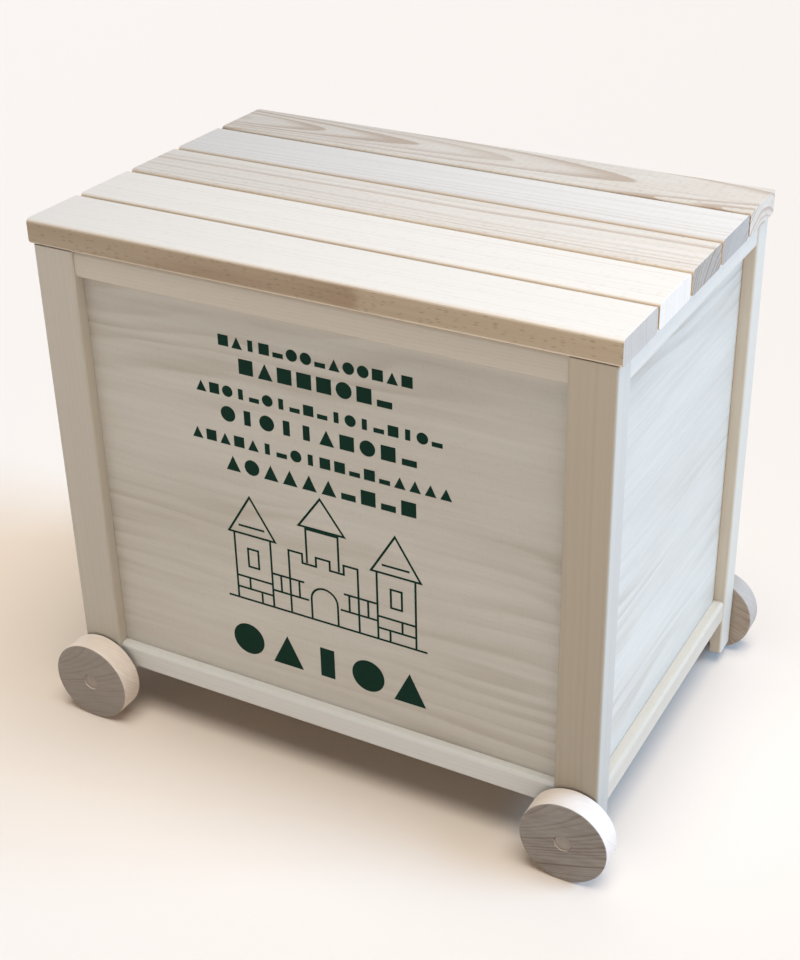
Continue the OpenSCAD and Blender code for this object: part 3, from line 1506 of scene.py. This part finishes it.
@dataclass
class Carcass:
    """The open box: four L-section posts, rails, wall panels, floor and cleats.

    Attributes:
        joinery: makes the boards.
        leg: thickness of the posts' legs, in metres.
        edge: rounding of the posts' outer edges, in metres.
        play: radial play of the axles in the posts, in metres.
        run_out: how far the drill for the axles runs past the wood, in metres.
        sheets: the brightness, the warmth and the strength of the grain of each wall's panel; the front panel
            drawn darker than the others is painted shade.
        rails: the brightness and the warmth of each wall's top rail and bottom rail; the front top rail drawn
            darker is painted shade under the lid, and the front bottom rail and the right top rail drawn
            brighter and cooler are painted light.
        posts: each post's brightness, warmth and painted shade towards its foot, and the first two again for
            its flank; the front right post's dark, warm front against its pale flank and the rear right
            post's raised brightness are painted shade and light.
        body: the body that its pieces ride on.
    """

    joinery: Joinery
    leg: float = 9.0 * MM
    edge: float = 2.0 * MM
    play: float = 0.1 * MM
    run_out: float = 2.0 * MM
    # painted shade: the front panel is drawn darker than the other walls
    sheets: dict[str, tuple[float, float, float]] = field(
        default_factory=lambda: {
            "front": (0.88, -0.05, 1.2),
            "rear": (0.96, 0.2, 1.4),
            "left": (0.96, 0.2, 1.2),
            "right": (1.01, 0.0, 1.7),
        }
    )
    # painted light and shade: the front top rail is drawn darker, and the front bottom rail and the right top
    # rail brighter and cooler
    rails: dict[str, tuple[Point, Point]] = field(
        default_factory=lambda: {
            "front": ((0.9, 0.1), (1.08, -1.2)),
            "rear": ((1.0, 0.2), (1.04, -0.4)),
            "left": ((1.0, 0.2), (1.04, -0.4)),
            "right": ((1.1, -0.3), (0.9, 0.4)),
        }
    )
    # painted light and shade: the third number draws each post darker towards its foot, the front right
    # post's front is drawn darker than its flank, and the rear right post is drawn brighter
    posts: tuple[tuple[float, float, float, Point], ...] = (
        (0.83, 0.1, 0.1, (0.9, 0.2)),
        (0.73, 1.0, 0.22, (0.97, -0.2)),
        (0.93, 0.3, 0.1, (0.97, 0.2)),
        (1.1, 0.4, 0.1, (1.06, 0.0)),
    )
    body: str = "box"

    def build(self) -> None:
        """Makes all its pieces."""
        for end, y in (("front", -1.0), ("rear", 1.0)):
            for side, x in (("left", -1.0), ("right", 1.0)):
                self._post(end, side, x, y)
        outs = {"front": -AXIS_Y, "rear": AXIS_Y, "left": -AXIS_X, "right": AXIS_X}
        for number, (wall, out) in enumerate(outs.items()):
            grain = AXIS_X if wall in ("front", "rear") else AXIS_Y
            self._wall(wall, grain, out, number)
        floor = LogCut(AXIS_X, AXIS_Z, Sawing.PEELED, seed=61, warm=0.3)
        self.joinery.board("floor_panel", self.body, "birch_ply", floor, SHEET_EDGES)

    def _wall(self, wall: str, grain: Vector, out: Vector, number: int) -> None:
        """Makes one wall: its panel, its two rails and the cleat inside it.

        Args:
            wall: which wall.
            grain: the direction that its boards run.
            out: its outward normal.
            number: picks its wood.
        """
        make = self.joinery.board
        bright, warm, figure = self.sheets[wall]
        sheet = LogCut(grain, out, Sawing.PEELED, seed=31 + number, bright=bright, warm=warm, figure=figure)
        make(f"{wall}_panel", self.body, "birch_ply", sheet, SHEET_EDGES)
        for height, sawing in (("top", Sawing.QUARTER), ("bottom", Sawing.RIFT)):
            seed = 41 + 2 * number + (height == "top")
            bright, warm = self.rails[wall][height == "bottom"]
            rail = LogCut(grain, out, sawing, heart=0.06, seed=seed, bright=bright, warm=warm, figure=0.8)
            make(f"{wall}_{height}_rail", self.body, "beech_rail", rail, RAIL_EDGES)
        cleat = LogCut(grain, -out, Sawing.RIFT, seed=51 + number)
        make(f"{wall}_floor_cleat", self.body, "beech_inner", cleat, INNER_EDGES)

    def _post(self, end: str, side: str, x: float, y: float) -> None:
        """Makes one post.

        Args:
            end: front or rear.
            side: left or right.
            x: -1 on the left, 1 on the right.
            y: -1 at the front, 1 at the rear.
        """
        node = f"{end}_{side}_post"
        middle, size = place_of(node)
        width, depth, edge = size.x, size.y, self.edge
        outline = [
            *arc((edge, edge), edge, 180.0),
            *arc((width - edge, edge), edge, 270.0),
            (width, self.leg),
            (self.leg, self.leg),
            (self.leg, depth),
            *arc((edge, depth - edge), edge, 90.0),
        ]
        corner = Vector((middle.x + x * width / 2, middle.y + y * depth / 2, middle.z))
        mesh = prism(
            [(corner.x - x * along, corner.y - y * into) for along, into in outline],
            middle.z - size.z / 2,
            middle.z + size.z / 2,
        )
        axle, axle_size = place_of(f"{side}_axle")
        radius = axle_size.x / 2 + self.play
        reach = depth + self.run_out
        bore = standing(
            turned([(0.0, -reach), (radius, -reach), (radius, reach), (0.0, reach)]),
            Vector((axle.x, corner.y, axle.z)),
        )
        number = (end == "rear") * 2 + (side == "right")
        bright, warm, fade, flank = self.posts[number]
        wood = partial(LogCut, AXIS_Z, AXIS_Y * y, Sawing.RIFT, heart=0.07, tilt=0.006, seed=21 + number)
        cut = wood(bright=bright, warm=warm, figure=0.6, side=(*flank, 0.6), fade=fade)
        self.joinery.workshop.hand_over(
            f"{node}_wood", eased(mesh, EASING, bore), self.body, "beech_post", cut, node
        )


@dataclass
class Lid:
    """The loose lid: five slats screwed to two battens from below.

    Attributes:
        joinery: makes the boards.
        shank: radius of the screws' shanks, in metres.
        head: radius of their heads, in metres.
        gap: how much wider than a screw its hole is, in metres.
        recess: depth of the cross in a screw's head, in metres.
        run_out: how far the drill for the screws runs past the wood, in metres.
        body: the body that its pieces ride on.
    """

    joinery: Joinery
    shank: float = 2.0 * MM
    head: float = 4.0 * MM
    gap: float = 0.15 * MM
    recess: float = 1.6 * MM
    run_out: float = 1.0 * MM
    body: str = "lid"

    def build(self) -> None:
        """Makes all its pieces."""
        tan, brown = (0.88, 2.6, 1.0), (0.58, 1.9, 2.6)
        wood = partial(LogCut, AXIS_X, AXIS_Z)
        quarter, rift = partial(wood, Sawing.QUARTER), partial(wood, Sawing.RIFT, heart=0.05)
        flat = partial(wood, Sawing.FLAT, heart=0.02, tilt=0.06)
        # painted shade: each slat's falloff draws it darker towards its left end, for the light that falls
        # off across the lid
        slats = [
            quarter(heart=0.07, seed=11, bright=1.12, figure=0.3, end_grain=1.8, fade=0.24, side=brown),
            quarter(heart=0.06, seed=12, bright=1.13, figure=0.4, end_grain=0.2, fade=0.24, side=tan),
            rift(seed=13, bright=1.02, warm=0.2, figure=1.5, end_grain=2.3, fade=0.28, side=tan),
            rift(seed=14, bright=1.06, warm=-0.3, figure=0.8, end_grain=2.2, fade=0.31, side=tan),
            flat(seed=15, bright=0.91, warm=0.3, figure=2.3, end_grain=0.3, fade=0.28, side=brown),
        ]
        for number, cut in enumerate(slats, start=1):
            self.joinery.board(f"lid_slat_{number}", self.body, "beech_slat", cut, SLAT_EDGES)
        screws = ScrewTree()
        for number, side in enumerate(("left", "right")):
            self._batten(side, number, screws)

    def _batten(self, side: str, number: int, tree: ScrewTree) -> None:
        """Makes one batten and the screws in it.

        Args:
            side: left or right.
            number: picks its wood.
            tree: the geometry tree of a row of screws.
        """
        made, _ = place_of(f"{side}_lid_batten")
        middle, size = place_of(f"{side}_batten_screws")
        base = Vector((middle.x, 0.0, middle.z - size.z / 2))
        rows = self._rows(f"{side}_lid_batten")
        rise = self.head - self.shank
        mouth, hole = self.head + self.gap, self.shank + self.gap
        below = -self.run_out
        profile = [(0.0, below), (mouth, below), (mouth, 0.0), (hole, rise), (hole, size.z), (0.0, size.z)]
        holes = [standing(turned(profile, 32), base + Vector((0.0, y, 0.0)), AXIS_Z) for y in rows]
        cut = LogCut(AXIS_Y, -AXIS_Z, Sawing.RIFT, seed=71 + number)
        board = f"{side}_lid_batten"
        self.joinery.board(board, self.body, "beech_inner", cut, INNER_EDGES, merged(holes))
        pair = partial(
            tree.run,
            self.joinery.workshop.finishes.made["screw_steel"],
            shank_radius=self.shank,
            head_radius=self.head,
            head_height=rise,
            length=size.z,
            recess=self.recess,
            count=2,
        )
        places = zip(rows[0::2], rows[1::2])
        screws = merged([pair(first=first, pitch=second - first) for first, second in places])
        screws.transform(Matrix.Translation(base))
        node = f"{side}_batten_screws"
        self.joinery.workshop.hand_over(
            f"{node}_steel", eased(screws, SCREW_EASING), self.body, "screw_steel", None, node
        )

    @staticmethod
    def _rows(batten: str) -> list[float]:
        """The Y places of a batten's screws, two for each slat.

        Args:
            batten: the batten's node.

        Returns:
            The places, front to rear.
        """
        middle, size = place_of(batten)
        rows = []
        for number in range(1, SLATS + 1):
            slat, slat_size = place_of(f"lid_slat_{number}")
            low = max(slat.y - slat_size.y / 2, middle.y - size.y / 2)
            high = min(slat.y + slat_size.y / 2, middle.y + size.y / 2)
            rows += [low + (high - low) * share for share in (0.25, 0.75)]
        return rows


@dataclass
class WheelSet:
    """A dowel axle with a wheel glued on each end.

    Attributes:
        workshop: takes the finished pieces.
        side: left or right.
        number: picks its wood.
        edge: rounding of the wheels' edges, in metres.
        mouth: bevel at the ends of the wheels' bores, in metres.
        tip: bevel at the ends of the axle, in metres.
        steps: number of steps round a wheel.
        woods: each wheel's brightness, warmth and strength of the grain, and how much brighter its tread is
            drawn, which is painted light; the rear right wheel's raised brightness is painted light too.
    """

    workshop: Workshop
    side: str
    number: int
    edge: float = 0.9 * MM
    mouth: float = 0.35 * MM
    tip: float = 0.5 * MM
    steps: int = 144
    # painted light: the treads are drawn 1.6 to 2.9 times as bright as the faces, and the rear right wheel's
    # face 1.42 times, for the light that falls on them
    woods: tuple[tuple[float, float, float, float], ...] = (
        (1.0, -0.1, 0.6, 2.9),
        (1.0, 0.0, 1.0, 2.3),
        (0.95, 0.0, 1.6, 2.8),
        (1.42, 0.8, 1.2, 1.6),
    )

    def build(self) -> None:
        """Makes the axle and its two wheels."""
        body = f"{self.side}_wheel_set"
        node = f"{self.side}_axle"
        axle, size = place_of(node)
        radius, half, ease = size.x / 2, size.y / 2, self.tip
        profile = [
            (0.0, -half),
            (radius - ease, -half),
            (radius, ease - half),
            (radius, half - ease),
            (radius - ease, half),
            (0.0, half),
        ]
        cut = LogCut(AXIS_Y, AXIS_Z, Sawing.RIFT, heart=0.03, seed=81 + self.number)
        dowel = shaded(working_object("turning", standing(turned(profile), axle)))
        self.workshop.hand_over(f"{node}_dowel", dowel, body, "beech_axle", cut, node)
        for end, out in (("front", -AXIS_Y), ("rear", AXIS_Y)):
            self._wheel(f"{end}_{self.side}_wheel", body, out, radius)

    def _wheel(self, node: str, body: str, out: Vector, bore: float) -> None:
        """Makes one wheel.

        Args:
            node: the CAD node that it stands for.
            body: the body that it rides on.
            out: the normal of its outer face.
            bore: radius of its bore.
        """
        middle, size = place_of(node)
        radius, half, edge, ease = size.x / 2, size.y / 2, self.edge, self.mouth
        profile = [
            (bore, ease - half),
            (bore + ease, -half),
            *arc((radius - edge, edge - half), edge, 270.0),
            *arc((radius - edge, half - edge), edge, 0.0),
            (bore + ease, half),
            (bore, half - ease),
        ]
        number = self.number * 2 + (out.y > 0.0)
        bright, warm, figure, painted_rim_light = self.woods[number]
        wood = partial(LogCut, AXIS_X, out, Sawing.RIFT, heart=0.05, tilt=0.25, seed=91 + number)
        # painted light: the tone given to the tread and its ends
        cut = wood(bright=bright, warm=warm, figure=figure, side=(painted_rim_light, -0.1, 0.3), whole_rim=True)
        wheel = shaded(working_object("turning", standing(turned(profile, self.steps), middle)))
        self.workshop.hand_over(f"{node}_wood", wheel, body, "beech_wheel", cut, node)


@dataclass(frozen=True)
class Row:
    """One printed row of block shapes; lengths in millimetres.

    Attributes:
        height: the height of its middle above the floor.
        size: the height of its shapes.
        width: its whole width.
        seed: picks its shapes.
    """

    height: float
    size: float
    width: float
    seed: int


@dataclass
class Print:
    """The decoration printed on the front panel: rows of block shapes round an outlined castle.

    Attributes:
        workshop: takes the finished pieces.
        rows: the small rows and the large one, from the top.
        line: width of the castle's lines, in metres.
        ink: how far the ink stands proud, in metres.
        sink: how far it reaches into the panel, in metres.
        spacing: the mean pitch of a row's shapes, in shares of their height.
        sharpest: cosine of half the turn beyond which a corner's mitre grows no longer.
    """

    workshop: Workshop
    rows: tuple[Row, ...] = (
        Row(314.0, 8.2, 138.0, 3),
        Row(298.5, 11.4, 110.0, 8),
        Row(278.7, 8.0, 177.0, 5),
        Row(262.5, 11.2, 142.0, 12),
        Row(244.0, 8.4, 189.0, 7),
        Row(227.0, 11.4, 140.0, 21),
        Row(90.0, 25.0, 150.0, 33),
    )
    line: float = 1.5 * MM
    ink: float = 0.08 * MM
    sink: float = 0.05 * MM
    spacing: float = 1.25
    sharpest: float = 0.35

    def build(self) -> None:
        """Makes the printed pieces."""
        tree = MotifTree()
        for number, row in enumerate(self.rows, start=1):
            count = round((row.width - row.size) / (row.size * self.spacing)) + 1
            mesh = tree.run(
                self.workshop.finishes.made["ink"],
                size=row.size * MM,
                pitch=(row.width - row.size) / (count - 1) * MM,
                ink=self.ink + self.sink,
                count=count,
                seed=row.seed,
            )
            self._lay(f"printed_row_{number}", mesh, row.height * MM)
        strokes = [self._stroke(points, closed) for points, closed in self._castle()]
        self._lay("printed_castle", merged(strokes), 0.0)

    def _lay(self, name: str, mesh: bpy.types.Mesh, height: float) -> None:
        """Lays a print made flat in X and Y on the front panel.

        Args:
            name: the piece's name.
            mesh: the print, standing on Z = 0.
            height: the height of its origin above the floor.
        """
        middle, size = place_of("front_panel")
        turn = Matrix.Rotation(math.radians(90.0), 4, "X")
        at = Vector((0.0, middle.y - size.y / 2 + self.sink, height))
        mesh.transform(Matrix.Translation(at) @ turn)
        self.workshop.hand_over(name, outward(mesh), "box", "ink")

    @staticmethod
    def _castle() -> list[tuple[Sequence[Point], bool]]:
        """Lists the castle's lines; the side lines with more than two points are closed.

        Returns:
            Each line's points in millimetres, and whether it is closed.
        """
        foot, wall, gap = 123.8, 172.0, 165.0
        teeth = [(-26.0, wall), (-15.6, wall), (-15.6, gap), (-5.2, gap), (-5.2, wall)]
        teeth += [(-x, y) for x, y in reversed(teeth)]
        arch = [*arc((0.0, 139.0), 10.0, 0.0)[:-1], *arc((0.0, 139.0), 10.0, 90.0)]
        lines: list[tuple[Sequence[Point], bool]] = [
            ([(-76.0, 123.0), (76.0, 123.0)], False),
            ([(-26.0, foot), *teeth, (26.0, foot)], False),
            ([(-10.0, foot), *reversed(arch), (10.0, foot)], False),
            ([(-12.0, 166.0), (-12.0, 192.0), (12.0, 192.0), (12.0, 166.0)], False),
            ([(-17.0, 193.5), (17.0, 193.5), (0.0, 217.0)], True),
        ]
        right = (
            ((40.0, foot), (40.0, 174.0)),
            ((68.0, foot), (68.0, 174.0)),
            ((36.0, 174.8), (72.0, 174.8), (54.0, 204.0)),
            ((26.8, 150.0), (39.2, 150.0)),
            ((40.8, 132.0), (67.2, 132.0)),
            ((40.8, 141.0), (67.2, 141.0)),
            ((49.0, foot), (49.0, 131.2)),
            ((58.0, 132.8), (58.0, 140.2)),
            ((26.8, 137.0), (39.2, 137.0)),
            ((33.0, 137.8), (33.0, 149.2)),
            ((15.0, 150.0), (25.2, 150.0)),
            ((12.0, 137.0), (25.2, 137.0)),
            ((19.0, 137.8), (19.0, 149.2)),
            ((44.0, 181.0), (64.0, 181.0)),
            ((50.0, 150.0), (58.0, 150.0), (58.0, 164.0), (50.0, 164.0)),
        )
        for side in (-1.0, 1.0):
            lines += [([(side * x, y) for x, y in points], len(points) > 2) for points in right]
        return lines

    def _stroke(self, points: Sequence[Point], closed: bool) -> bpy.types.Mesh:
        """Draws a line as a thin solid ribbon with mitred corners.

        Args:
            points: the line's points, in millimetres.
            closed: whether it runs back to its start.

        Returns:
            The ribbon, standing on Z = 0.
        """
        path = [Vector((x * MM, y * MM)) for x, y in points]
        count = len(path)
        work = bmesh.new()
        rings = []
        for index, point in enumerate(path):
            before = path[index - 1] if index or closed else point
            after = path[(index + 1) % count] if index < count - 1 or closed else point
            first = (point - before if before is not point else after - point).normalized()
            second = (after - point if after is not point else point - before).normalized()
            mitre = (first + second).normalized()
            mitre = Vector((-mitre.y, mitre.x)) / max(self.sharpest, mitre.dot(first))
            left, right = (point + mitre * self.line * share for share in (0.5, -0.5))
            top = self.ink + self.sink
            corners = ((left, 0.0), (right, 0.0), (right, top), (left, top))
            rings.append([work.verts.new((*corner, z)) for corner, z in corners])
        following = rings[1:] + rings[:1] if closed else rings[1:]
        for ring, onward in zip(rings, following):
            for corner in range(4):
                across = (corner + 1) % 4
                work.faces.new((ring[corner], ring[across], onward[across], onward[corner]))
        if not closed:
            work.faces.new(rings[0])
            work.faces.new(rings[-1])
        return closed_mesh(work)


# ---- studio ----


@dataclass(frozen=True)
class View:
    """Where the camera stands.

    Attributes:
        azimuth: the way it looks, in degrees round from +Y.
        elevation: how far it looks down, in degrees.
        distance: its distance from the point it looks at, in metres.
        aim: that point.
        lens: focal length, in millimetres.
        shift: sideways and upwards shift of the lens.
        sensor: width of the sensor, in millimetres.
        sight: the nearest and the farthest distance that it sees, in metres.
    """

    azimuth: float = 26.825
    elevation: float = 28.346
    distance: float = 1.1137
    aim: tuple[float, float, float] = (0.03315, 0.01676, 0.19951)
    lens: float = 59.912
    shift: Point = (-0.06987, -0.04106)
    sensor: float = 36.0
    sight: Point = (0.05, 50.0)

    def build(self) -> None:
        """Makes the camera and gives it to the scene."""
        around, down = math.radians(self.azimuth), math.radians(self.elevation)
        right = Vector((math.cos(around), math.sin(around), 0.0))
        level = Vector((-math.sin(around), math.cos(around), 0.0))
        ahead = level * math.cos(down) - AXIS_Z * math.sin(down)
        turn = Matrix((right, right.cross(ahead), -ahead)).transposed().to_4x4()
        data = bpy.data.cameras.new("camera")
        data.sensor_width = self.sensor
        data.lens = self.lens
        data.shift_x, data.shift_y = self.shift
        data.clip_start, data.clip_end = self.sight
        camera = bpy.data.objects.new("camera", data)
        camera.matrix_world = Matrix.Translation(Vector(self.aim) - ahead * self.distance) @ turn
        bpy.context.scene.collection.objects.link(camera)
        bpy.context.scene.camera = camera


@dataclass(frozen=True)
class Lamp:
    """One broad, far light.

    Attributes:
        name: its name.
        towards: the direction that it shines from.
        energy: its strength.
        colour: its colour.
        spread: how wide it is, in degrees.
    """

    name: str
    towards: tuple[float, float, float]
    energy: float
    colour: Colour
    spread: float

    def build(self) -> None:
        """Puts the light in the scene."""
        data = bpy.data.lights.new(self.name, "SUN")
        data.energy, data.color, data.angle = self.energy, self.colour, math.radians(self.spread)
        lamp = bpy.data.objects.new(self.name, data)
        lamp.location = self.towards
        lamp.rotation_euler = Vector(self.towards).to_track_quat("Z", "Y").to_euler()
        bpy.context.scene.collection.objects.link(lamp)


@dataclass(frozen=True)
class Studio:
    """A pale paper sweep under soft light.

    Attributes:
        paper: the sweep's finish.
        radius: radius of its flat part, in metres.
        bend: radius of its bend, in metres.
        rise: how far it bends up, in degrees.
        steps: number of steps in the bend.
        depth: thickness of the sweep, in metres.
        lamps: the lights.
        glow: the colour of the light from all round.
        glow_strength: its strength.
    """

    paper: PaperFinish = PaperFinish("studio_paper", (0.795, 0.688, 0.59))
    radius: float = 3.0
    bend: float = 10.0
    rise: float = 50.0
    steps: int = 24
    depth: float = 0.1
    lamps: tuple[Lamp, ...] = (
        Lamp("overhead_light", (0.3, -0.16, 2.0), 2.74, (1.015, 0.987, 0.934), 42.0),
        Lamp("side_light", (1.0, 0.3, 0.6), 2.09, (0.53, 1.0, 1.675), 30.0),
    )
    glow: Colour = (0.94, 0.97, 1.0)
    glow_strength: float = 0.08

    def build(self) -> None:
        """Makes the sweep, the lights and the world."""
        angles = [math.radians(self.rise * step / self.steps) for step in range(self.steps + 1)]
        bend = [(self.radius + self.bend * math.sin(a), self.bend * (1.0 - math.cos(a))) for a in angles]
        mesh = turned([(0.0, 0.0), *bend, (bend[-1][0], -self.depth), (0.0, -self.depth)])
        mesh.shade_smooth()
        mesh.materials.append(self.paper.material())
        sweep = bpy.data.objects.new("studio_sweep", mesh)
        bpy.context.scene.collection.objects.link(sweep)
        for lamp in self.lamps:
            lamp.build()
        world = bpy.data.worlds.new("studio")
        world.use_nodes = True
        world.node_tree.nodes.clear()
        graph = Graph(world.node_tree)
        light = {"Color": (*self.glow, 1.0), "Strength": self.glow_strength}
        glow = graph.node("ShaderNodeBackground", inputs=light)
        graph.node("ShaderNodeOutputWorld", inputs={"Surface": glow.outputs[0]})
        bpy.context.scene.world = world


def main() -> None:
    """Builds the whole scene."""
    logging.basicConfig(level=logging.INFO, format="%(name)s: %(message)s")
    workshop = Workshop(Finishes())
    joinery = Joinery(workshop)
    Carcass(joinery).build()
    Lid(joinery).build()
    for number, side in enumerate(("left", "right")):
        WheelSet(workshop, side, number).build()
    Print(workshop).build()
    Studio().build()
    View().build()
    bpy.context.scene.view_settings.view_transform = "Standard"
    log.info("%d pieces handed over", workshop.count)


if __name__ == "__main__":
    main()
